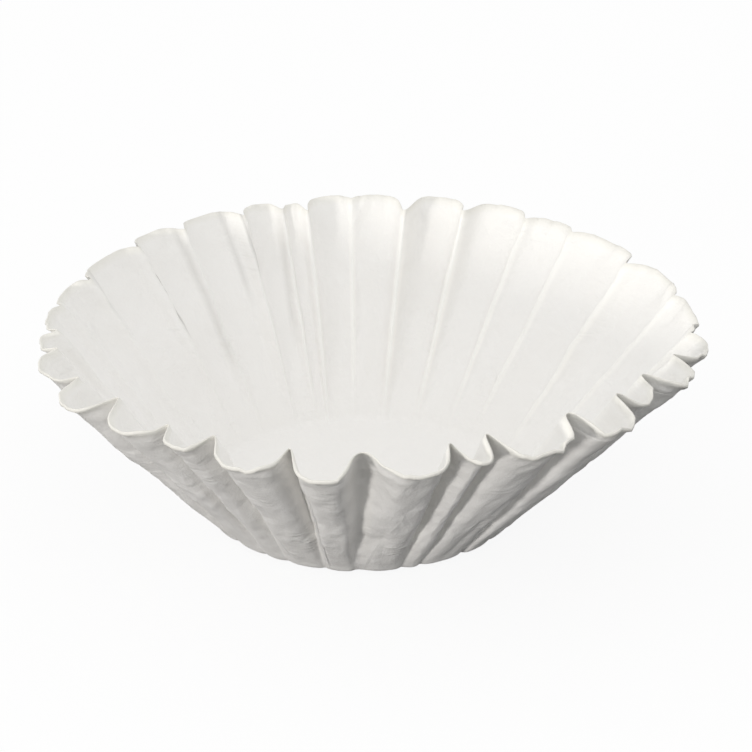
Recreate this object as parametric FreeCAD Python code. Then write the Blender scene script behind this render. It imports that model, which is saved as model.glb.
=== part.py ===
import FreeCAD, Part
import math
import os

# Paper coffee filter: one disc of paper, pressed into a flat base and a fluted wall.
# The origin is the middle of the base's underside, +Z is up, and azimuth 0 is -Y, growing towards +X.

doc = FreeCAD.newDocument("paper_coffee_filter")

SIZES = [
    ("flat_diameter", 212.0, "mm, paper disc before it is fluted"),
    ("base_diameter", 82.5, "mm, flat round base, to the fold where the wall starts"),
    ("wall_slope", 52.0, "degrees, mean rise of the wall above the base"),
    ("rim_stretch", 1.06, "length of the rim's crepe once pressed, over its length in the flat disc"),
    ("rim_shift_x", 2.0, "mm that the soft rim leans to +X of the base"),
    ("rim_shift_y", 1.0, "mm that the soft rim leans to +Y of the base"),
    ("paper_thickness", 0.25, "mm, soft creped paper"),
    ("base_scallop", 0.6, "mm, depth of the flutes where they start at the base"),
    ("rim_fall", 0.2, "mm that a crest drops for each mm that it stands out of the mean wall"),
    ("fold_pinch", 0.2, "share of a flute's width between its inward fold and its shoulder"),
]

sheet = doc.addObject("Spreadsheet::Sheet", "Sizes")
for line, (name, value, words) in enumerate(SIZES, start=1):
    sheet.set(f"A{line}", name)
    sheet.set(f"B{line}", str(value))
    sheet.setAlias(f"B{line}", name)
    sheet.set(f"C{line}", words)
doc.recompute()

# The flutes, in order round the rim: azimuth of the inward fold in degrees, depth of that fold,
# azimuth of the outward crest that follows it, height of that crest.
# Depth and height are shares of the common flute depth, which the length of the paper settles.
# A crest with a share below 0 stays inside the mean wall, and so a fold below 0 stays outside it.
FLUTES = [
    (-0.8, 1.60, 6.6, 1.50),
    (13.8, 1.80, 16.6, 0.90),
    (20.4, 1.90, 27.0, 1.10),
    (36.3, 2.10, 41.0, 1.30),
    (48.9, 1.90, 52.5, 0.15),
    (58.7, 1.90, 63.0, 1.30),
    (70.1, 1.30, 76.0, 1.25),
    (81.2, 0.30, 89.0, 0.40),
    (98.0, 0.45, 105.5, 0.30),
    (115.6, 1.35, 126.0, 0.40),
    (134.9, 0.50, 142.0, 0.55),
    (146.6, 0.60, 154.8, 2.00),
    (160.0, 1.50, 168.2, 2.35),
    (172.7, 2.40, 179.0, 2.20),
    (184.0, -0.60, 188.4, 2.00),
    (194.0, 1.65, 196.4, 0.45),
    (198.8, 0.40, 202.2, 1.80),
    (207.4, 0.75, 212.6, 1.70),
    (221.9, 0.75, 227.0, 0.95),
    (234.7, 0.95, 243.8, -0.10),
    (254.0, 1.15, 261.5, -0.20),
    (267.0, 0.50, 273.0, 0.05),
    (278.7, 0.65, 282.8, 0.45),
    (287.0, 0.60, 293.8, 1.30),
    (299.3, 1.05, 306.0, 1.70),
    (311.0, 1.40, 319.0, 1.25),
    (324.6, 0.95, 329.6, 0.95),
    (333.6, 1.10, 341.0, 1.55),
    (347.0, 1.20, 353.6, 2.00),
]

# A fold's pole stands further in than the fold that it makes, and a shoulder lies just inside the crest.
FOLD_REACH = 1.5
SHOULDER_SHARE = 0.72

# The wall's rings above the base, as shares of its slant, and the points on each from pole to pole.
RING_SHARES = [0.12, 0.45, 1.0]
POINTS_A_POLE = 3


def flute_waves(pinch):
    """Azimuth and wave height of the poles round the paper: fold, shoulder, crest, shoulder for each flute."""
    waves = []
    for i, (fold_at, fold_depth, crest_at, crest_height) in enumerate(FLUTES):
        next_fold = FLUTES[(i + 1) % len(FLUTES)][0]
        width = (next_fold - fold_at) % 360.0
        shoulder = SHOULDER_SHARE * crest_height
        waves.append((fold_at, -FOLD_REACH * fold_depth))
        waves.append((fold_at + pinch * width, shoulder))
        waves.append((crest_at, crest_height))
        waves.append((fold_at + (1.0 - pinch) * width, shoulder))
    return waves


def ring_line(waves, middle, mean_radius, depth, fall):
    """Smooth closed line round its middle, waving by the depth about its mean radius."""
    poles = []
    for azimuth, wave in waves:
        radius = mean_radius + depth * wave
        angle = math.radians(azimuth)
        from_middle = FreeCAD.Vector(radius * math.sin(angle), -radius * math.cos(angle), -fall * depth * wave)
        poles.append(middle + from_middle)
    knots = list(range(len(poles) + 1))
    line = Part.BSplineCurve()
    line.buildFromPolesMultsKnots(poles, [1] * len(knots), knots, True, 3)
    return line


def ring_of_paper(waves, middle, mean_radius, fall, length):
    """The ring whose flutes are just deep enough to take up this length of paper."""
    shallow, deep = 0.0, mean_radius / 2.0
    while deep - shallow > 1e-4:
        depth = (shallow + deep) / 2.0
        line = ring_line(waves, middle, mean_radius, depth, fall)
        if line.length() < length:
            shallow = depth
        else:
            deep = depth
    return line


def points_on(line, count):
    """Points spaced evenly by parameter, so that rings of one shape match point for point."""
    first, last = line.FirstParameter, line.LastParameter
    return [line.value(first + (last - first) * i / count) for i in range(count)]


def into_filter(row, low, high):
    """Unit normals at a row's points, towards the inside of the filter, on the wall between two rows."""
    normals = []
    for i in range(len(row)):
        along = row[(i + 1) % len(row)] - row[i - 1]
        normal = (high[i] - low[i]).cross(along)
        normal.normalize()
        normals.append(normal)
    return normals


def moved(row, normals, distance):
    return [point + normal * distance for point, normal in zip(row, normals)]


def triangle(a, b, c):
    return Part.Face(Part.makePolygon([a, b, c, a]))


def strip(low, high):
    """Flat facets between two closed rows of points, split along the shorter diagonal."""
    facets = []
    for i in range(len(low)):
        k = (i + 1) % len(low)
        if (high[k] - low[i]).Length < (high[i] - low[k]).Length:
            facets.append(triangle(low[i], low[k], high[k]))
            facets.append(triangle(low[i], high[k], high[i]))
        else:
            facets.append(triangle(low[i], low[k], high[i]))
            facets.append(triangle(low[k], high[k], high[i]))
    return facets


def disc(row):
    """The flat base inside its closed outline."""
    return Part.Face(Part.makePolygon(row + row[:1]))


def fluted_paper():
    """The whole filter: outer side, inner side one paper thickness away, and the cut edge at the rim."""
    base_radius = sheet.base_diameter / 2.0
    slant = sheet.flat_diameter / 2.0 - base_radius
    slope = math.radians(sheet.wall_slope)
    waves = flute_waves(sheet.fold_pinch)

    lines = [ring_line(waves, FreeCAD.Vector(), base_radius, sheet.base_scallop, 0.0)]
    for share in RING_SHARES:
        up_wall = share * slant
        ring_radius = base_radius + up_wall * math.cos(slope)
        middle = FreeCAD.Vector(share * sheet.rim_shift_x, share * sheet.rim_shift_y, up_wall * math.sin(slope))
        stretch = 1.0 + share * (sheet.rim_stretch - 1.0)
        length = 2.0 * math.pi * (base_radius + up_wall) * stretch
        lines.append(ring_of_paper(waves, middle, ring_radius, sheet.rim_fall, length))

    count = POINTS_A_POLE * len(waves)
    outer = [points_on(line, count) for line in lines]
    up = FreeCAD.Vector(0.0, 0.0, 1.0)
    foot_sides = into_filter(outer[0], outer[0], outer[1])
    mitres = [(up + side) / (1.0 + up.dot(side)) for side in foot_sides]
    inner = [moved(outer[0], mitres, sheet.paper_thickness)]
    for row, low, high in zip(outer[1:], outer[:-1], outer[2:] + outer[-1:]):
        inner.append(moved(row, into_filter(row, low, high), sheet.paper_thickness))

    faces = [disc(outer[0]), disc(inner[0])]
    for side in (outer, inner):
        for low, high in zip(side[:-1], side[1:]):
            faces.extend(strip(low, high))
    faces.extend(strip(outer[-1], inner[-1]))

    shell = Part.makeShell(faces)
    shell.sewShape()
    paper = Part.makeSolid(shell)
    middle_of_base = up * (sheet.paper_thickness / 2.0)
    if not paper.isInside(middle_of_base, 1e-6, False):
        paper.reverse()
    return paper


paper = doc.addObject("Part::Feature", "FilterPaper")
paper.Label = "filter_paper"
paper.Shape = fluted_paper()
paper.Placement = FreeCAD.Placement(FreeCAD.Vector(0.0, 0.0, 0.0), FreeCAD.Rotation())
doc.recompute()

for item in doc.Objects:
    if "Invalid" in item.State or "Error" in item.State:
        raise RuntimeError(f"{item.Label} did not compute")

os.makedirs("parts", exist_ok=True)
for item in doc.Objects:
    if item.TypeId != "Part::Feature":
        continue
    if item.Shape.isNull() or not item.Shape.isValid() or len(item.Shape.Solids) != 1:
        raise RuntimeError(f"{item.Label} is not one valid solid")
    item.Shape.exportStep(f"parts/{item.Label}.step")
    print(f"{item.Label}: volume {item.Shape.Volume:.1f} mm3, area {item.Shape.Area:.0f} mm2, "
          f"{len(item.Shape.Faces)} faces, box {item.Shape.BoundBox}")
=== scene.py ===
import math

import bpy
import numpy as np
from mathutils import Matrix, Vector


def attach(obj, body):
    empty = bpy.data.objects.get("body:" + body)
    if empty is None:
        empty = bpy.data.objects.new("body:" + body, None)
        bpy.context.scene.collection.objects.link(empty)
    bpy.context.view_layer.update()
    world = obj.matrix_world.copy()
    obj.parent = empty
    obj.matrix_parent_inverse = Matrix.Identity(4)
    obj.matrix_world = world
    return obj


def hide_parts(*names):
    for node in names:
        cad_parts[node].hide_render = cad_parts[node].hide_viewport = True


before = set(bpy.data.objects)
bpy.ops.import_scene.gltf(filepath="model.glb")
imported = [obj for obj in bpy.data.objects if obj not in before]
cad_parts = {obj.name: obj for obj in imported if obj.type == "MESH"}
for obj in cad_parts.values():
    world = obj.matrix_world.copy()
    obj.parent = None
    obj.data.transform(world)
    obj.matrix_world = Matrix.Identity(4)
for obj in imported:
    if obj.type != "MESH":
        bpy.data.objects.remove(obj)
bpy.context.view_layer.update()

# A paper coffee filter: one sheet of creped paper, pressed into a flat base and a fluted wall.
# Azimuth 0 is -Y, the front, and grows towards +X, the right. The slant share is 0 where the wall starts
# at the base and 1 at the rim. Lengths are in millimetres until the mesh is made.

MM = 0.001
SEED = 7

# The paper disc and how it is pressed, as in the part. The stretch is the crepe's length at the rim over its
# length in the flat disc, and the shift is how far the rim leans from the base's middle, to +X and to +Y.
FLAT_DIAMETER = 212.0
BASE_DIAMETER = 82.5
WALL_SLOPE = math.radians(52.0)
RIM_STRETCH = 1.06
RIM_SHIFT = np.array([2.0, 1.0])
PAPER_THICKNESS = 0.25

BASE_RADIUS = BASE_DIAMETER / 2
SLANT = FLAT_DIAMETER / 2 - BASE_RADIUS
RIM_RADIUS = BASE_RADIUS + SLANT

# Depth of the flutes where they start at the base, softer than in the part
BASE_SCALLOP = 0.35

# How far a crest drops for each millimetre that it stands out, at the front and at the back, and the share
# of its height that shows as reach at the back
RIM_FALL = 0.2
BACK_RIM_FALL = 0.03
BACK_CREST_SHARE = 0.78

# A shoulder's height as a share of its crest's, how far in the poles of a fold's tip stand for a depth of 1,
# and the share of the crests beside it that lifts the tip
SHOULDER_SHARE = 0.83
TIP_REACH = 1.044
TIP_LIFT = 0.25
POLES_A_FLUTE = 5

# The flutes in order round the rim, as in the part: azimuth of the inward fold, its depth, azimuth of the
# crest after it, and its height. Depth and height are shares of the common flute depth.
FLUTES = [
    (-0.8, 1.60, 6.6, 1.50),
    (13.8, 1.80, 16.6, 0.90),
    (20.4, 1.90, 27.0, 1.10),
    (36.3, 2.10, 41.0, 1.30),
    (48.9, 1.90, 52.5, 0.15),
    (58.7, 1.90, 63.0, 1.30),
    (70.1, 1.30, 76.0, 1.25),
    (81.2, 0.30, 89.0, 0.40),
    (98.0, 0.45, 105.5, 0.30),
    (115.6, 1.35, 126.0, 0.40),
    (134.9, 0.50, 142.0, 0.55),
    (146.6, 0.60, 154.8, 2.00),
    (160.0, 1.50, 168.2, 2.35),
    (172.7, 2.40, 179.0, 2.20),
    (184.0, -0.60, 188.4, 2.00),
    (194.0, 1.65, 196.4, 0.45),
    (198.8, 0.40, 202.2, 1.80),
    (207.4, 0.75, 212.6, 1.70),
    (221.9, 0.75, 227.0, 0.95),
    (234.7, 0.95, 243.8, -0.10),
    (254.0, 1.15, 261.5, -0.20),
    (267.0, 0.50, 273.0, 0.05),
    (278.7, 0.65, 282.8, 0.45),
    (287.0, 0.60, 293.8, 1.30),
    (299.3, 1.05, 306.0, 1.70),
    (311.0, 1.40, 319.0, 1.25),
    (324.6, 0.95, 329.6, 0.95),
    (333.6, 1.10, 341.0, 1.55),
    (347.0, 1.20, 353.6, 2.00),
]

# How each inward fold is pinched, in degrees: its half width at the tip, and how far before and after it
# the flutes on its two sides are back at their shoulders. A fold not named here has the half width below,
# and is pinched over a share of its flutes.
FOLD_TIPS = {
    0: (1.75, 2.8, 4.8),
    1: (0.8, 1.8, 2.3),
    2: (0.8, 1.7, 2.6),
    3: (0.9, 2.8, 1.4),
    4: (0.9, 2.9, 1.4),
    5: (1.0, 3.2, 1.4),
    6: (0.6, 3.0, 1.2),
    13: (0.7, 1.9, 1.9),
    24: (0.4, 0.9, 2.8),
    25: (0.4, 0.8, 4.0),
    26: (0.4, 1.2, 2.6),
    27: (0.4, 2.2, 3.0),
    28: (0.4, 1.5, 2.4),
}
TIP_HALF_WIDTH = 0.55
PINCH_SHARE = 0.14

# Tips that slant: the side at the higher azimuth is shallower by this share, and the other side is deeper by
# TILT_REACH of it
TIP_TILT = {0: 0.75, 1: 0.85, 2: 0.8}
TILT_REACH = 0.45

# Each main fold is sharper than the smooth wave by a random share of CRISP_DEPTH millimetres.
# The round ones at the front right are hardly sharpened. The reach is in poles.
CRISP_DEPTH = 0.9
CRISP_REACH = 0.4
CRISP_SHARES = (0.5, 1.15)
ROUND_FOLDS = [0, 1, 2, 3, 4, 5]
ROUND_CRISP_SHARE = 0.1

# A painted highlight lightens a fold's tip, over a band in poles to each side, and most so at the right,
# where the light catches the folds
TIP_FLAT = 0.35
TIP_FADE = 0.45
TIP_HIGHLIGHT_SHARES = (0.75, 1.0)
TIP_HIGHLIGHT_AT_MIDDLE = 0.8
TIP_HIGHLIGHT_TO_RIGHT = 1.3
TIP_HIGHLIGHT_LEAST = 0.15

# The lip and the curl leave the tips of the folds as they are, and grow over this many poles beside them
TIP_OPENS = 1.3

# How fast the folds grow sharp and get their painted highlight up the wall: they are whole at a slant share
# of 1 over this
FOLD_GROWTH = 2.5

# Minor creases seen on the wall: azimuth and slant share at the top, the same at the foot,
# depth into the filter and half width in millimetres (a depth below 0 stands outwards)
CREASES = [
    (236.3, 1.00, 235.4, 0.45, 0.5, 1.0),
    (233.2, 1.00, 232.0, 0.45, 0.5, 0.9),
    (211.0, 1.00, 209.8, 0.45, 0.6, 1.1),
    (250.4, 1.00, 251.4, 0.60, 0.7, 1.3),
    (33.5, 0.92, 27.0, 0.00, 0.5, 1.2),
    (335.2, 0.62, 336.4, 0.00, 0.5, 1.0),
    (322.0, 0.80, 326.5, 0.15, 0.6, 1.2),
    (313.0, 0.90, 315.5, 0.25, 0.5, 1.2),
    (155.5, 1.00, 153.0, 0.55, -0.4, 1.4),
    (139.5, 1.00, 140.5, 0.50, 0.4, 1.2),
    (109.0, 1.00, 107.5, 0.45, 0.5, 1.5),
    (125.5, 0.85, 127.0, 0.30, 0.4, 1.3),
    (179.5, 0.75, 180.5, 0.10, 0.3, 1.5),
    (213.5, 0.70, 214.5, 0.10, 0.3, 1.6),
    (262.5, 0.90, 263.5, 0.35, 0.5, 1.5),
    (271.5, 1.00, 270.0, 0.50, 0.4, 1.1),
    (4.0, 0.60, 5.0, 0.05, 0.4, 1.3),
    (89.0, 0.95, 91.0, 0.30, 0.5, 1.4),
]
CREASE_FADE = 0.12
CREASE_SHARPNESS = 1.5

# Fine creases, too thin for the mesh: azimuth and slant share at the top, the same at the foot,
# half width in millimetres, and how much painted shade the line gets (or painted highlight, below 0)
FINE_CREASES = [
    (233.4, 1.02, 232.1, 0.50, 0.7, 1.0),
    (207.8, 1.02, 206.7, 0.62, 0.6, 0.6),
    (250.4, 1.02, 251.2, 0.70, 1.6, 0.3),
    (210.9, 1.02, 209.8, 0.54, 1.5, 0.35),
    (223.0, 1.02, 222.4, 0.30, 1.5, 0.35),
    (198.9, 1.02, 200.7, 0.35, 1.5, 0.3),
    (349.5, 0.88, 349.0, 0.03, 0.6, -0.9),
    (336.0, 0.80, 336.4, 0.03, 0.6, -0.8),
]
FINE_FOOT_FADE = 9.0
FINE_TOP_FADE = 4.0

# Cosines between which a point counts as being on the same side of the filter as the crease
SAME_SIDE = (0.5, 0.6)

# Patches of fine ripples seen outside: azimuth, slant share, and their half sizes in degrees and share.
# A patch fades out at this many half sizes from its middle.
RIPPLES = [
    (347.5, 0.30, 4.5, 0.16),
    (8.5, 0.26, 2.5, 0.16),
    (338.0, 0.16, 4.0, 0.12),
    (322.0, 0.62, 4.5, 0.12),
    (329.0, 0.78, 4.0, 0.10),
    (306.0, 0.55, 5.0, 0.14),
    (30.0, 0.34, 4.0, 0.15),
]
RIPPLE_REACH = 1.4

# Fineness of the mesh, with the rows of the base as shares of its radius
COLUMNS_A_POLE = 5
WALL_ROWS = 54
FOLD_ROWS = 6
BASE_SHARES = [0.06, 0.4, 0.75, 1.0]

# Slant shares at which the depth of the flutes is solved. Near the foot the crepe gives a little,
# so the second, third and fourth of these keep only a share of that depth.
DEPTH_SHARES = np.array([0.0, 0.06, 0.12, 0.25, 0.45, 0.7, 1.0])
FOOT_EASE = [0.6, 0.78, 0.92]
DEEPEST_FLUTE = 20.0
DEPTH_TOLERANCE = 1e-3

# At the right the soft rim curls in and is crumpled more: azimuth and half spread in degrees,
# how far it curls, over what height, and by what share its crumpling grows there
CURL_AT = 66.0
CURL_SPREAD = 62.0
CURL_IN = 1.2
CURL_HEIGHT = 8.0
CURL_CRUMPLE = 1.5

# Columns to each side over which the direction of the strays is evened out, so that no fold crosses itself
PRESS_SPAN = 8

# The soft fold round the base, and the soft cut edge at the rim, which strays up and down in waves
BASE_BEND = 2.0
LIP_HEIGHT = 2.0
LIP_FLARE = 0.8
LIP_THICKNESS = 0.95
LIP_ROUNDING = 0.45
EDGE_WANDER = 0.35
EDGE_WAVES_ROUND = (3, 7, 13, 31, 57, 96)

# How the crepe strays from the smooth press, in metres and in waves to a radian and to a millimetre
CREPE_INPUTS = [
    ("Crumple Height", 0.0022),
    ("Crumple Round", 8.0),
    ("Crumple Up", 0.06),
    ("Crinkle Height", 0.0009),
    ("Crinkle Round", 30.0),
    ("Crinkle Up", 0.26),
    ("Kink Height", 0.0016),
    ("Kink Round", 6.5),
    ("Kink Up", 0.075),
    ("Rim Height", 0.0042),
    ("Rim Round", 17.0),
    ("Rim Up", 0.10),
]

STRAY_DETAIL = {"Crumple": 1.0, "Crinkle": 2.0, "Kink": 2.0, "Rim": 1.0}

# Slant shares between which the strays of the wall grow from nothing, and those of the rim
WALL_STRAYS_GROW = (0.02, 0.35)
RIM_STRAYS_GROW = (0.8, 1.0)

# A stray of these kinds is noise folded over at 0, which makes ridges, and RIDGE_MEAN is about its mean
RIDGED_STRAYS = ("Kink", "Rim")
RIDGE_MEAN = 0.1

# Colours of the paper: its two clouded whites, then painted light and shade: the painted highlight on the
# folds' tips, painted shade over the upper wall, a warm tint with painted shade at the cut edge, and painted
# highlights and painted shade along the creases
CLOUD_DIM = (0.90, 0.887, 0.862, 1)
CLOUD_BRIGHT = (0.925, 0.915, 0.895, 1)
FOLD_TIP_HIGHLIGHT = (0.985, 0.975, 0.94, 1)
UPPER_WALL_SHADE = (0.84, 0.83, 0.80, 1)
CUT_EDGE_TINT_AND_SHADE = (0.80, 0.785, 0.725, 1)
CREASE_HIGHLIGHT = (0.99, 0.98, 0.96, 1)
CREASE_SHADE = (0.60, 0.59, 0.565, 1)

# How far down the slant the upper wall's painted shade and the cut edge's tint and painted shade reach, and
# how strong they are at the rim
UPPER_WALL_SHADE_REACH = 22.0
UPPER_WALL_SHADE_STRENGTH = 0.5
CUT_EDGE_REACH = 2.5
CUT_EDGE_STRENGTH = 0.8

# Noise in the paper: waves to a metre through the solid, and waves to a radian and to a millimetre of slant
FIBRE_SCALE = 1300.0
PULP_SCALE = 330.0
CLOUD_SCALE = 38.0
PATCH_WAVES = (5.0, 5.0, 0.055)
RIPPLE_WAVES = (10.0, 10.0, 0.55)
WRINKLE_WAVES = (8.0, 8.0, 0.05)

# The ripples and wrinkles fade out from the wall to the base between these distances from the base's edge.
# The noise of the patches and clouds turns them on between two of its values.
BASE_FADE = (-6.0, 4.0)
RIPPLED_BETWEEN = (0.52, 0.66)
WRINKLED_BETWEEN = (0.45, 0.65)
WRINKLE_WIDTH = 0.10
PATCH_STRENGTH = 1.2

# What each layer adds to the height of the bump
BUMP_SHARES = {"ripples": 0.42, "pulp": 0.3, "fibres": 0.12, "wrinkles": 0.12, "light": 0.7, "dark": -0.4}

# The table, which throws little light back at the paper. The camera sees it as this share of plain white
# over a pale surface that takes the shadow.
TABLE_HALF_SIDE = 4.0
TABLE_GREY = (0.14, 0.14, 0.14, 1)
TABLE_SHADE = (0.95, 0.95, 0.95, 1)
TABLE_WHITE_SHARE = 0.9
WHITE = (1, 1, 1, 1)

# The camera, from the outline of the photographed filter
CAMERA_ELEVATION = math.radians(25.24)
CAMERA_DISTANCE = 0.5
CAMERA_TARGET = Vector((0.00327, 0.001, 0.03311))
IMAGE_SIDE = 752
FOCAL_PIXELS = 1945
SENSOR_WIDTH = 36.0

# The lamps: place and size in metres, power in watts and colour
LAMPS = {
    "key": ((-0.8, -0.45, 0.9), 0.7, 1.0, (1, 1, 1)),
    "fill": ((0.3, -0.65, 1.1), 0.6, 0.5, (1, 1, 1)),
    "low_left": ((-0.8, -1.02, 0.12), 0.18, 6.5, (1.0, 0.972, 0.945)),
}
LAMP_AIM = Vector((0, 0, 0.03))
STUDIO_LIGHT = 0.88

chance = np.random.default_rng(SEED)


def smooth_step(t):
    t = np.clip(t, 0, 1)
    return t * t * (3 - 2 * t)


def backness(angle):
    """0 at the front of the filter and 1 at its back."""
    return (1 - np.cos(angle)) / 2


def degrees_from(centre, azimuth):
    """How far each azimuth is from the centre, from -180 to 180 degrees."""
    return (azimuth - centre + 180) % 360 - 180


def crest_lift(azimuth):
    """Share of a crest's height that shows as reach, less at the back, where the rim is higher instead."""
    return 1 - (1 - BACK_CREST_SHARE) * backness(math.radians(azimuth))


def flute_poles():
    """Azimuths and wave heights of the poles round the paper: two for the fold's tip, then shoulder,
    crest and shoulder, for each flute."""
    azimuths, waves = [], []
    crests = [height * crest_lift(crest_at) for _, _, crest_at, height in FLUTES]
    for i, (fold_at, fold_depth, crest_at, _) in enumerate(FLUTES):
        following = (i + 1) % len(FLUTES)
        width = (FLUTES[following][0] - fold_at) % 360.0
        tip, _, after = FOLD_TIPS.get(i, (TIP_HALF_WIDTH, 0.0, PINCH_SHARE * width))
        _, before, _ = FOLD_TIPS.get(following, (0.0, PINCH_SHARE * width, 0.0))
        fold = -TIP_REACH * fold_depth + TIP_LIFT * (crests[i - 1] + crests[i]) / 2
        shoulder = SHOULDER_SHARE * crests[i]
        tilt = TIP_TILT.get(i, 0.0)
        azimuths += [fold_at - tip, fold_at + tip, fold_at + after, crest_at, fold_at + width - before]
        waves += [fold * (1 + TILT_REACH * tilt), fold * (1 - tilt), shoulder, crests[i], shoulder]
    return np.radians(azimuths), np.array(waves)


def smooth_round(poles):
    """Points on the closed cubic line that has these poles, the same number from each pole to the next."""
    t = np.arange(COLUMNS_A_POLE) / COLUMNS_A_POLE
    pull = np.stack([(1 - t) ** 3, 3 * t**3 - 6 * t**2 + 4, -3 * t**3 + 3 * t**2 + 3 * t + 1, t**3], 1) / 6
    near = np.stack([np.roll(poles, k, axis=0) for k in (1, 0, -1, -2)], 1)
    return np.einsum("tk,nk...->nt...", pull, near).reshape(-1, *poles.shape[1:])


def distance_from_fold():
    """Distance of each column from the nearest inward fold, in poles, and the number of that fold."""
    along = np.arange(len(FLUTES) * POLES_A_FLUTE * COLUMNS_A_POLE) / COLUMNS_A_POLE - 0.5
    nearest = np.round(along / POLES_A_FLUTE).astype(int)
    return np.abs(along - nearest * POLES_A_FLUTE), nearest % len(FLUTES)


class PressedPaper:
    """Where each point of the flat disc lies once it is pressed. Columns run round, and rows up the slant."""

    def __init__(self):
        pole_angles, wave = flute_poles()
        out = np.stack([np.sin(pole_angles), -np.cos(pole_angles)], 1)
        self.round = smooth_round(out)
        self.wave_out = smooth_round(out * wave[:, None])
        self.wave = smooth_round(wave)
        turn = np.arctan2(self.round[:, 0], -self.round[:, 1])
        self.azimuth = np.degrees(turn) % 360
        self.fall = RIM_FALL + (BACK_RIM_FALL - RIM_FALL) * backness(turn)

        from_fold, nearest = distance_from_fold()
        crispness = chance.uniform(*CRISP_SHARES, len(FLUTES))
        crispness[ROUND_FOLDS] = ROUND_CRISP_SHARE
        self.crisp = crispness[nearest] * np.exp(-from_fold / CRISP_REACH)
        # Painted highlight along the tip of each fold, stronger towards the right, where the light catches
        # the folds
        to_right = np.sin(np.radians([fold_at for fold_at, _, _, _ in FLUTES]))
        tip_highlight = chance.uniform(*TIP_HIGHLIGHT_SHARES, len(FLUTES))
        tip_highlight *= np.clip(TIP_HIGHLIGHT_AT_MIDDLE + TIP_HIGHLIGHT_TO_RIGHT * to_right, TIP_HIGHLIGHT_LEAST, 1)
        self.fold = tip_highlight[nearest] * (1 - smooth_step((from_fold - TIP_FLAT) / TIP_FADE))
        self.open = smooth_step((from_fold - TIP_FLAT) / TIP_OPENS)

        self.depths = np.array([BASE_SCALLOP] + [self.depth_for_length(s) for s in DEPTH_SHARES[1:]])
        self.depths[1:4] *= FOOT_EASE

    def ring(self, share, depth):
        radius = BASE_RADIUS + share * SLANT * math.cos(WALL_SLOPE)
        height = share * SLANT * math.sin(WALL_SLOPE)
        plan = radius * self.round + depth * self.wave_out + share * RIM_SHIFT
        fall = self.fall if share > 0 else 0.0
        return np.column_stack([plan, height - fall * depth * self.wave])

    def depth_for_length(self, share):
        """Flute depth at which the ring is as long as the stretched crepe."""
        length = 2 * math.pi * (BASE_RADIUS + share * SLANT) * (1 + share * (RIM_STRETCH - 1))
        shallow, deep = 0.0, DEEPEST_FLUTE
        while deep - shallow > DEPTH_TOLERANCE:
            depth = (shallow + deep) / 2
            ring = self.ring(share, depth)
            if np.linalg.norm(np.roll(ring, -1, 0) - ring, axis=1).sum() < length:
                shallow = depth
            else:
                deep = depth
        return depth

    def wall(self, share):
        ring = self.ring(share, np.interp(share, DEPTH_SHARES, self.depths))
        crisp = CRISP_DEPTH * self.crisp * smooth_step(share * FOLD_GROWTH)
        ring[:, :2] -= self.round * crisp[:, None]
        return ring


def pressed_rows(paper):
    """The outer side of the paper as rows of points, from near the middle of the base to the rim,
    with the radius of each row on the flat disc and its slant share."""
    corner = paper.wall(0.0)
    floor_line = corner * [1 - BASE_BEND / BASE_RADIUS, 1 - BASE_BEND / BASE_RADIUS, 1]
    bend_share = BASE_BEND / SLANT
    bend_top = paper.wall(bend_share)
    rows, radii, shares = [], [], []
    for share in BASE_SHARES:
        rows.append(floor_line * share)
        radii.append((BASE_RADIUS - BASE_BEND) * share)
        shares.append(0.0)
    for t in np.linspace(0, 1, FOLD_ROWS + 1)[1:]:
        rows.append((1 - t) ** 2 * floor_line + 2 * t * (1 - t) * corner + t**2 * bend_top)
        radii.append(BASE_RADIUS + BASE_BEND * (2 * t - 1))
        shares.append(bend_share * t)
    for share in np.linspace(bend_share, 1, WALL_ROWS + 1)[1:]:
        rows.append(paper.wall(share))
        radii.append(BASE_RADIUS + share * SLANT)
        shares.append(share)
    return np.array(rows), np.array(radii), np.array(shares)


def inward_normals(rows):
    """Unit normals of a sheet of rows, towards the inside of the filter."""
    along = np.roll(rows, -1, 1) - np.roll(rows, 1, 1)
    up = np.gradient(rows, axis=0)
    normals = np.cross(along, up)
    normals /= np.linalg.norm(normals, axis=2, keepdims=True)
    if normals[0, :, 2].mean() < 0:
        normals = -normals
    return normals


def minor_creases(azimuth, shares, radii):
    """Depth into the filter that the minor creases add, for each row and column."""
    depth = np.zeros((len(shares), len(azimuth)))
    for top_at, top_share, foot_at, foot_share, crease_depth, half_width in CREASES:
        along = (shares - foot_share) / (top_share - foot_share)
        centre = foot_at + (top_at - foot_at) * along
        off = degrees_from(centre[:, None], azimuth[None])
        sideways = np.radians(off) * radii[:, None] / half_width
        fade_foot = smooth_step((shares - foot_share) / CREASE_FADE)
        fade_top = 1.0 if top_share == 1.0 else smooth_step((top_share - shares) / CREASE_FADE)
        strength = crease_depth * (fade_foot * fade_top)[:, None]
        depth += strength * np.exp(-np.abs(sideways) ** CREASE_SHARPNESS)
    return depth


def edge_wander(columns):
    """How far the cut edge strays up or down the slant, in millimetres."""
    turn = np.arange(columns) / columns * 2 * math.pi
    stray = np.zeros(columns)
    for waves_round in EDGE_WAVES_ROUND:
        stray += np.sin(waves_round * turn + chance.uniform(0, 2 * math.pi)) / math.sqrt(waves_round)
    return EDGE_WANDER * stray / np.abs(stray).max()


def ripple_patches(azimuth, shares):
    """1 in the middle of each patch of fine ripples, fading to 0 at its edge."""
    patches = np.zeros((len(shares), len(azimuth)))
    for at, share, half_round, half_up in RIPPLES:
        off = degrees_from(at, azimuth[None]) / half_round
        up = (shares[:, None] - share) / half_up
        patches = np.maximum(patches, smooth_step(RIPPLE_REACH - np.hypot(off, up)))
    return patches


def near_rim(shares, reach):
    """1 in the row at the rim, fading to 0 in the rows that lie this far down the slant."""
    return smooth_step(1 - (1 - shares) * SLANT / reach)[:, None]


def there_and_back(outer):
    """What the outer side's rows have, again for the cut edge and for the inner side's rows."""
    return np.concatenate([outer, outer[-1:], outer[::-1]])


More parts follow.
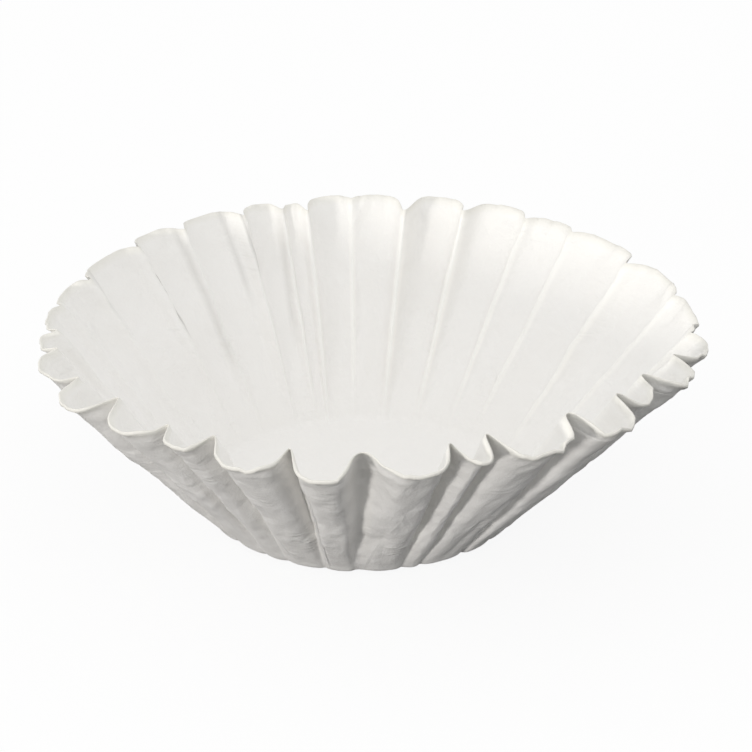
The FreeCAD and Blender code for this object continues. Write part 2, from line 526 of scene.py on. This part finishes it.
def sheet_faces(count, columns):
    """Faces between the rows, from the outer side over the rim to the inner side, and a fan at both ends."""
    faces = []
    for r in range(count - 1):
        for c in range(columns):
            k = (c + 1) % columns
            faces.append((r * columns + c, r * columns + k, (r + 1) * columns + k, (r + 1) * columns + c))
    last = (count - 1) * columns
    for c in range(columns):
        k = (c + 1) % columns
        faces.append((count * columns, k, c))
        faces.append((count * columns + 1, last + c, last + k))
    return faces


def sheet_mesh():
    """The closed sheet: outer side, cut edge and inner side, with each point's place on the flat disc."""
    paper = PressedPaper()
    rows, radii, shares = pressed_rows(paper)
    normals = inward_normals(rows)
    rows = rows + normals * minor_creases(paper.azimuth, shares, radii)[..., None]

    up_wall = rows[-1] - rows[-3]
    up_wall /= np.linalg.norm(up_wall, axis=1, keepdims=True)
    lip = near_rim(shares, LIP_HEIGHT)[..., None]
    at_front = (1 - backness(np.radians(paper.azimuth))) * paper.open
    flare = LIP_FLARE * at_front[:, None]
    rows = rows + lip * (up_wall * edge_wander(rows.shape[1])[:, None] - normals[-1] * flare)

    to_curl = np.abs(degrees_from(CURL_AT, paper.azimuth))
    curl = near_rim(shares, CURL_HEIGHT) * (smooth_step(1 - to_curl / CURL_SPREAD) * paper.open)[None]
    inwards = -np.column_stack([paper.round, np.zeros(len(paper.round))])
    rows = rows + CURL_IN * curl[..., None] * inwards

    normals = inward_normals(rows)
    thickness = PAPER_THICKNESS + (LIP_THICKNESS - PAPER_THICKNESS) * lip * at_front[None, :, None]
    inner = rows + normals * thickness
    edge = (rows[-1] + inner[-1]) / 2 + up_wall * thickness[-1] * LIP_ROUNDING
    points = np.concatenate([rows, edge[None], inner[::-1]])

    press = sum(np.roll(normals, k, 1) for k in range(-PRESS_SPAN, PRESS_SPAN + 1))
    press *= (1 + CURL_CRUMPLE * curl[..., None]) / np.linalg.norm(press, axis=2, keepdims=True)
    row_shares = there_and_back(shares)
    count, columns = points.shape[:2]
    turn = np.radians(paper.azimuth)
    place = np.empty_like(points)
    place[..., 0] = np.cos(turn)
    place[..., 1] = np.sin(turn)
    place[..., 2] = there_and_back(radii)[:, None]
    share = np.repeat(row_shares[:, None], columns, 1)
    # The painted highlight of the folds' tips, as it grows up the wall
    fold = np.repeat(paper.fold[None], count, 0) * smooth_step(row_shares * FOLD_GROWTH)[:, None]
    ripple = ripple_patches(paper.azimuth, row_shares)

    middles = [[0, 0, 0], [0, 0, PAPER_THICKNESS]]
    points = np.concatenate([points.reshape(-1, 3), middles]) * MM
    mesh = bpy.data.meshes.new("pressed_sheet")
    mesh.from_pydata(points.tolist(), [], sheet_faces(count, columns))
    for name, kind, field, values, at_middle in (
        ("press", "FLOAT_VECTOR", "vector", there_and_back(press), (0, 0, 1)),
        ("place", "FLOAT_VECTOR", "vector", place, (0, 0, 0)),
        ("slant_share", "FLOAT", "value", share, (0,)),
        ("fold", "FLOAT", "value", fold, (0,)),
        ("ripple", "FLOAT", "value", ripple, (0,)),
    ):
        flat = np.concatenate([values.ravel(), at_middle, at_middle]).astype(np.float32)
        mesh.attributes.new(name, kind, "POINT").data.foreach_set(field, flat)
    mesh.update()
    return mesh


class Socket:
    """A node socket that can be used in Python expressions."""

    def __init__(self, tree, output):
        self.tree = tree
        self.output = output

    def math(self, operation, a, b=None):
        node = self.tree.nodes.new("ShaderNodeMath")
        node.operation = operation
        for slot, value in zip(node.inputs, (a, b)):
            if isinstance(value, Socket):
                self.tree.links.new(value.output, slot)
            elif value is not None:
                slot.default_value = value
        return Socket(self.tree, node.outputs[0])

    def __add__(self, other):
        return self.math("ADD", self, other)

    __radd__ = __add__

    def __mul__(self, other):
        return self.math("MULTIPLY", self, other)

    __rmul__ = __mul__

    def __sub__(self, other):
        return self.math("SUBTRACT", self, other)

    def __rsub__(self, other):
        return self.math("SUBTRACT", other, self)

    def __abs__(self):
        return self.math("ABSOLUTE", self)


class Tree:
    """Builds one node tree. node() makes any node from its type, its settings, and its inputs' values
    or links."""

    def __init__(self, tree):
        self.tree = tree

    def node(self, kind, settings=None, inputs=None, output=0):
        node = self.tree.nodes.new(kind)
        for key, value in (settings or {}).items():
            setattr(node, key, value)
        for key, value in (inputs or {}).items():
            slot = node.inputs[key]
            if isinstance(value, Socket):
                self.tree.links.new(value.output, slot)
            else:
                slot.default_value = value
        return Socket(self.tree, node.outputs[output]) if node.outputs else None

    def scaled(self, vector, factors):
        return self.node("ShaderNodeVectorMath", {"operation": "MULTIPLY"}, {0: vector, 1: factors})

    def dot(self, a, b):
        return self.node("ShaderNodeVectorMath", {"operation": "DOT_PRODUCT"}, {0: a, 1: b}, output=1)

    def noise(self, vector, scale, detail, **more):
        inputs = {"Vector": vector, "Scale": scale, "Detail": detail}
        return self.node("ShaderNodeTexNoise", None, {**inputs, **more})

    def ramp(self, value, low, high, settings=None):
        inputs = {"Value": value, "From Min": low, "From Max": high}
        return self.node("ShaderNodeMapRange", settings, inputs)

    def blend(self, factor, a, b):
        return self.node("ShaderNodeMix", {"data_type": "RGBA"}, {0: factor, 6: a, 7: b}, output=2)


def material_tree(name):
    """A new material and the builder of its empty tree."""
    material = bpy.data.materials.new(name)
    material.use_nodes = True
    material.node_tree.nodes.clear()
    return material, Tree(material.node_tree)


def crepe_tree():
    """Geometry nodes that crumple and crinkle both sides of the sheet alike."""
    group = bpy.data.node_groups.new("crepe", "GeometryNodeTree")
    face = group.interface
    face.new_socket("Geometry", in_out="INPUT", socket_type="NodeSocketGeometry")
    for name, value in CREPE_INPUTS:
        face.new_socket(name, in_out="INPUT", socket_type="NodeSocketFloat").default_value = value
    face.new_socket("Seed", in_out="INPUT", socket_type="NodeSocketFloat").default_value = SEED
    face.new_socket("Paper", in_out="INPUT", socket_type="NodeSocketMaterial")
    face.new_socket("Geometry", in_out="OUTPUT", socket_type="NodeSocketGeometry")

    g = Tree(group)
    given = group.nodes.new("NodeGroupInput")
    sizes = {name: Socket(group, given.outputs[name]) for name, _ in CREPE_INPUTS + [("Seed", 0)]}
    vector = {"data_type": "FLOAT_VECTOR"}
    press = g.node("GeometryNodeInputNamedAttribute", vector, {"Name": "press"})
    place = g.node("GeometryNodeInputNamedAttribute", vector, {"Name": "place"})
    share = g.node("GeometryNodeInputNamedAttribute", {"data_type": "FLOAT"}, {"Name": "slant_share"})

    def stray(kind):
        """Noise about 0 on the flat disc, times its height."""
        round_waves, up_waves = sizes[kind + " Round"], sizes[kind + " Up"]
        factors = g.node("ShaderNodeCombineXYZ", None, {0: round_waves, 1: round_waves, 2: up_waves})
        inputs = {"Vector": g.scaled(place, factors), "W": sizes["Seed"]}
        inputs |= {"Scale": 1.0, "Detail": STRAY_DETAIL[kind]}
        noise = g.node("ShaderNodeTexNoise", {"noise_dimensions": "4D"}, inputs)
        about_zero = noise - 0.5
        if kind in RIDGED_STRAYS:
            about_zero = abs(about_zero) - RIDGE_MEAN
        return about_zero * sizes[kind + " Height"]

    smooth = {"interpolation_type": "SMOOTHSTEP"}
    wall_strays = stray("Crumple") + stray("Crinkle") + stray("Kink")
    on_wall = g.ramp(share, *WALL_STRAYS_GROW, smooth)
    on_rim = g.ramp(share, *RIM_STRAYS_GROW, smooth)
    height = wall_strays * on_wall + stray("Rim") * on_rim
    offset = g.node("ShaderNodeVectorMath", {"operation": "SCALE"}, {0: press, "Scale": height})
    geometry = Socket(group, given.outputs["Geometry"])
    geometry = g.node("GeometryNodeSetPosition", None, {"Geometry": geometry, "Offset": offset})
    geometry = g.node("GeometryNodeSetShadeSmooth", None, {0: geometry})
    geometry = g.node("GeometryNodeRealizeInstances", None, {0: geometry})
    paper = Socket(group, given.outputs["Paper"])
    geometry = g.node("GeometryNodeSetMaterial", None, {"Geometry": geometry, "Material": paper})
    g.node("NodeGroupOutput", None, {0: geometry})
    return group


def fine_crease(f, place, radius, line):
    """1 along one fine crease and 0 away from it, with place as the cosine and sine of the azimuth."""
    top_at, top_share, foot_at, foot_share, half_width = line
    middle = math.radians((top_at + foot_at) / 2)
    drift = math.radians(top_at - foot_at) / (top_share - foot_share) / SLANT
    middle_radius = BASE_RADIUS + SLANT * (top_share + foot_share) / 2
    aside = f.dot(place, (-math.sin(middle), math.cos(middle), 0))
    off = (aside - (radius - middle_radius) * drift) * radius
    near = 1.0 - f.ramp(abs(off), 0.0, half_width)
    foot = BASE_RADIUS + SLANT * foot_share
    top = BASE_RADIUS + SLANT * top_share
    fade = f.ramp(radius, foot, foot + FINE_FOOT_FADE)
    if top < RIM_RADIUS:
        fade = fade * (1.0 - f.ramp(radius, top - FINE_TOP_FADE, top))
    # The sine alone also fits the far side of the filter, and the cosine rules that out
    facing = f.dot(place, (math.cos(middle), math.sin(middle), 0))
    return near * fade * f.ramp(facing, *SAME_SIDE)


def fine_creases(f, place, radius, sign):
    """How strongly the painted shade (sign 1) or the painted highlight (sign -1) of the fine creases shows.
    """
    lines = [(line, darker * sign) for *line, darker in FINE_CREASES if darker * sign > 0]
    return sum(fine_crease(f, place, radius, line) * strength for line, strength in lines)


def creped_paper():
    """White creped filter paper: soft, matte, faintly warm, with fibres and ripples, painted highlights on
    the folds' tips and the light creases, painted shade in the dark creases and over the upper wall, and a
    warm tint with painted shade at the cut edge.
    """
    material, f = material_tree("creped_white_paper")
    solid = f.node("ShaderNodeTexCoord", output="Object")
    place = f.node("ShaderNodeAttribute", {"attribute_name": "place"}, output="Vector")
    fold = f.node("ShaderNodeAttribute", {"attribute_name": "fold"}, output="Fac")
    ripple = f.node("ShaderNodeAttribute", {"attribute_name": "ripple"}, output="Fac")
    radius = f.node("ShaderNodeSeparateXYZ", None, {0: place}, output=2)

    fibres = f.noise(solid, FIBRE_SCALE, 4.0, Roughness=0.6)
    pulp = f.noise(solid, PULP_SCALE, 3.0)
    cloud = f.noise(solid, CLOUD_SCALE, 2.0)
    patches = f.noise(f.scaled(place, PATCH_WAVES), 1.0, 1.0)
    ripples = f.noise(f.scaled(place, RIPPLE_WAVES), 1.0, 2.0, Distortion=0.6)
    cells = f.node("ShaderNodeTexVoronoi", {"feature": "DISTANCE_TO_EDGE"},
                   {"Vector": f.scaled(place, WRINKLE_WAVES), "Scale": 1.0, "Randomness": 1.0})

    # The base stays plain, as a pattern in the azimuth would meet in a star at its middle
    wall = f.ramp(radius, BASE_RADIUS + BASE_FADE[0], BASE_RADIUS + BASE_FADE[1])
    rippled = ripples * (f.ramp(patches, *RIPPLED_BETWEEN) + ripple * PATCH_STRENGTH) * wall
    wrinkles = (1.0 - f.ramp(cells, 0.0, WRINKLE_WIDTH)) * f.ramp(cloud, *WRINKLED_BETWEEN) * wall
    # Painted shade along the dark fine creases, and a painted highlight along the light ones
    dark = fine_creases(f, place, radius, 1)
    light = fine_creases(f, place, radius, -1)
    # Painted shade darkening the upper wall towards the rim
    upper_shade = f.ramp(radius, RIM_RADIUS - UPPER_WALL_SHADE_REACH, RIM_RADIUS) * UPPER_WALL_SHADE_STRENGTH
    # A warm tint with painted shade along the cut edge
    edge = f.ramp(radius, RIM_RADIUS - CUT_EDGE_REACH, RIM_RADIUS) * CUT_EDGE_STRENGTH

    colour = f.blend(cloud, CLOUD_DIM, CLOUD_BRIGHT)
    # Painted highlight along the folds' tips
    colour = f.blend(fold, colour, FOLD_TIP_HIGHLIGHT)
    colour = f.blend(upper_shade, colour, UPPER_WALL_SHADE)
    colour = f.blend(edge, colour, CUT_EDGE_TINT_AND_SHADE)
    colour = f.blend(light, colour, CREASE_HIGHLIGHT)
    colour = f.blend(dark, colour, CREASE_SHADE)

    layers = {
        "ripples": rippled,
        "pulp": pulp,
        "fibres": fibres,
        "wrinkles": wrinkles,
        "light": light,
        "dark": dark,
    }
    height = sum(layers[name] * share for name, share in BUMP_SHARES.items())
    bump = f.node("ShaderNodeBump", None, {"Strength": 0.9, "Distance": MM, "Height": height})
    surface = f.node("ShaderNodeBsdfPrincipled", None, {
        "Base Color": colour, "Roughness": 0.92, "Specular IOR Level": 0.2, "Normal": bump})
    f.node("ShaderNodeOutputMaterial", None, {"Surface": surface})
    return material


def floor_finish():
    """White table: seen white, but it keeps the object's shadow."""
    material, f = material_tree("white_table")
    camera_ray = f.node("ShaderNodeLightPath", output="Is Camera Ray")
    table = f.node("ShaderNodeBsdfDiffuse", None, {"Color": TABLE_GREY})
    shade = f.node("ShaderNodeBsdfDiffuse", None, {"Color": TABLE_SHADE})
    white = f.node("ShaderNodeEmission", None, {"Color": WHITE, "Strength": 1.0})
    seen = f.node("ShaderNodeMixShader", None, {0: TABLE_WHITE_SHARE, 1: shade, 2: white})
    mix = f.node("ShaderNodeMixShader", None, {0: camera_ray, 1: table, 2: seen})
    f.node("ShaderNodeOutputMaterial", None, {"Surface": mix})
    return material


def make_paper():
    """The filter: the pressed sheet, with the crepe's strays applied to its mesh."""
    tree = crepe_tree()
    paper_finish = creped_paper()
    source = bpy.data.objects.new("pressed_sheet", sheet_mesh())
    bpy.context.scene.collection.objects.link(source)
    source.data.materials.append(paper_finish)
    modifier = source.modifiers.new("crepe", "NODES")
    modifier.node_group = tree
    values = dict(CREPE_INPUTS)
    values["Seed"] = float(SEED)
    values["Paper"] = paper_finish
    for item in tree.interface.items_tree:
        if item.in_out == "INPUT" and item.name in values:
            modifier[item.identifier] = values[item.name]
    evaluated = source.evaluated_get(bpy.context.evaluated_depsgraph_get())
    mesh = bpy.data.meshes.new_from_object(evaluated)
    mesh.name = "fluted_paper"
    source.modifiers.remove(modifier)
    pressed = source.data
    bpy.data.objects.remove(source)
    bpy.data.meshes.remove(pressed)
    paper = bpy.data.objects.new("fluted_paper", mesh)
    bpy.context.scene.collection.objects.link(paper)
    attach(paper, "root")
    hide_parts("filter_paper")


def make_floor():
    mesh = bpy.data.meshes.new("table_top")
    corners = [(x * TABLE_HALF_SIDE, y * TABLE_HALF_SIDE, 0) for x, y in ((-1, -1), (1, -1), (1, 1), (-1, 1))]
    mesh.from_pydata(corners, [], [(0, 1, 2, 3)])
    floor = bpy.data.objects.new("table_top", mesh)
    bpy.context.scene.collection.objects.link(floor)
    floor.data.materials.append(floor_finish())


def make_camera():
    data = bpy.data.cameras.new("camera")
    data.sensor_width = SENSOR_WIDTH
    data.lens = FOCAL_PIXELS / IMAGE_SIDE * SENSOR_WIDTH
    camera = bpy.data.objects.new("camera", data)
    back = Vector((0, -math.cos(CAMERA_ELEVATION), math.sin(CAMERA_ELEVATION)))
    camera.location = CAMERA_TARGET + back * CAMERA_DISTANCE
    camera.rotation_euler = (-back).to_track_quat("-Z", "Y").to_euler()
    bpy.context.scene.collection.objects.link(camera)
    bpy.context.scene.camera = camera


def make_lamp(name, place, size, power, colour):
    data = bpy.data.lights.new(name, "AREA")
    data.shape = "DISK"
    data.size = size
    data.energy = power
    data.color = colour
    light = bpy.data.objects.new(name, data)
    light.location = place
    light.rotation_euler = (LAMP_AIM - Vector(place)).to_track_quat("-Z", "Y").to_euler()
    bpy.context.scene.collection.objects.link(light)


def make_light():
    """The lamps, and a white studio all round that is a little weaker as a light than it looks."""
    for name, settings in LAMPS.items():
        make_lamp(name, *settings)
    world = bpy.data.worlds.new("studio")
    world.use_nodes = True
    world.node_tree.nodes.clear()
    f = Tree(world.node_tree)
    camera_ray = f.node("ShaderNodeLightPath", output="Is Camera Ray")
    light = f.node("ShaderNodeBackground", None, {"Color": WHITE, "Strength": STUDIO_LIGHT})
    seen = f.node("ShaderNodeBackground", None, {"Color": WHITE, "Strength": 1.0})
    mix = f.node("ShaderNodeMixShader", None, {0: camera_ray, 1: light, 2: seen})
    f.node("ShaderNodeOutputWorld", None, {"Surface": mix})
    bpy.context.scene.world = world


make_paper()
make_floor()
make_camera()
make_light()
bpy.context.scene.view_settings.view_transform = "Standard"
